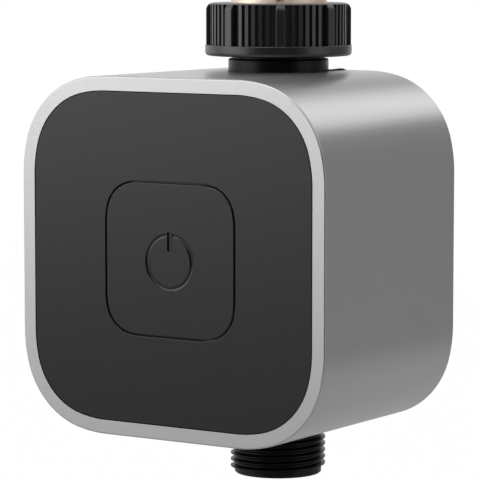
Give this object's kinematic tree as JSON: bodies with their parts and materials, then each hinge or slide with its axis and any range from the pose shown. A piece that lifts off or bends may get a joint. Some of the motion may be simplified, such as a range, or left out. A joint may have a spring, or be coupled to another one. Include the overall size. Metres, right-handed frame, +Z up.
{
  "type": "smart irrigation controller",
  "caption": "Rounded square tap-mounted watering valve: swivel nut inlet on top, threaded hose outlet below, satin metal sleeve, black front panel with a raised power button.",
  "frame": {"origin": "on the pipe axis, at the upper face of the washer inside the inlet thread, where the tap's spout seats", "axes": "+Z up along the pipe axis out of the inlet, -Y out of the front panel, +X to the right as seen from the front"},
  "size_m": [0.096, 0.078, 0.1321],
  "materials": {
    "sleeve_metal": "bead-blasted satin",
    "panel_black": "fine matt",
    "button_black": "fine matt",
    "housing_black": "fine matt",
    "nut_black": "semi-gloss",
    "valve_nylon": "semi-matt glass-filled",
    "chassis_grey": "matt",
    "tray_grey": "matt",
    "seal_black": "matt",
    "seal_grey": "matt",
    "brass": "turned",
    "steel": "brushed",
    "spring_steel": "drawn wire",
    "contact_nickel": "nickel plate",
    "copper": "enamelled copper wire",
    "bobbin_white": "semi-gloss",
    "board_green": "solder mask",
    "switch_black": "moulded",
    "can_silver": "plain",
    "cell_skin": "plastic-sleeved steel",
    "magnet_grey": "plated"
  },
  "bodies": {
    "valve_unit": {"rear_housing": "housing_black", "rear_screws": "steel", "valve_body": "valve_nylon", "diaphragm": "seal_black", "poppet_spring": "spring_steel", "valve_bonnet": "valve_nylon", "valve_screws": "steel", "core_tube": "steel", "pole_piece": "steel", "plunger_spring": "spring_steel", "coil_bobbin": "bobbin_white", "coil_winding": "copper", "solenoid_yoke": "steel", "latch_magnet": "magnet_grey", "coil_terminals": "contact_nickel", "inlet_tailpiece": "valve_nylon", "inlet_screen": "steel", "pipe_seal_rings": "seal_black", "inlet_washer": "seal_grey", "nut_slip_ring": "switch_black", "outlet_nipple": "valve_nylon"},
    "front_unit": {"sleeve": "sleeve_metal", "front_panel": "panel_black", "panel_gasket": "seal_black", "chassis": "chassis_grey", "button_spring": "spring_steel", "battery_tray_right": "tray_grey", "battery_tray_left": "tray_grey", "battery_right": "cell_skin", "battery_left": "cell_skin", "cell_contacts": "contact_nickel", "cell_springs": "spring_steel", "circuit_board": "board_green", "board_screws": "steel", "tact_switch": "switch_black", "radio_module": "can_silver", "board_capacitors": "can_silver", "connector_pads": "contact_nickel"},
    "button": {"power_button": "button_black"},
    "switch_stem": {"switch_plunger": "switch_black"},
    "core_plunger": {"solenoid_plunger": "steel", "plunger_seal": "seal_black"},
    "poppet": {"diaphragm_poppet": "bobbin_white"},
    "inlet_nut": {"swivel_nut": "nut_black", "inlet_reducer": "brass", "seat_washer": "seal_grey"}
  },
  "joints": [
    {"name": "front_unit_slide", "type": "slide", "parent": "valve_unit", "child": "front_unit", "axis": [0, -1, 0], "range_m": [0, 0.075]},
    {"name": "button_press", "type": "slide", "parent": "front_unit", "child": "button", "axis": [0, 1, 0], "range_m": [0, 0.0006], "stiffness_N_per_m": 600, "springref_m": -0.001, "deforming": ["button_spring"]},
    {"name": "switch_stem_press", "type": "slide", "parent": "front_unit", "child": "switch_stem", "axis": [0, 1, 0], "range_m": [0, 0.0007]},
    {"name": "nut_turn", "type": "hinge", "parent": "valve_unit", "child": "inlet_nut", "pos_m": [0, 0, 0], "axis": [0, 0, 1], "continuous": true},
    {"name": "core_slide", "type": "slide", "parent": "valve_unit", "child": "core_plunger", "axis": [0, -1, 0], "range_m": [0, 0.0011], "stiffness_N_per_m": 150, "springref_m": -0.003, "deforming": ["plunger_spring"]},
    {"name": "poppet_slide", "type": "slide", "parent": "valve_unit", "child": "poppet", "axis": [0, -1, 0], "range_m": [0, 0.002], "stiffness_N_per_m": 300, "springref_m": -0.003, "deforming": ["poppet_spring", "diaphragm"]}
  ],
  "couplings": [
    {"joint": "switch_stem_press", "follows": "button_press", "ratio": 1}
  ]
}
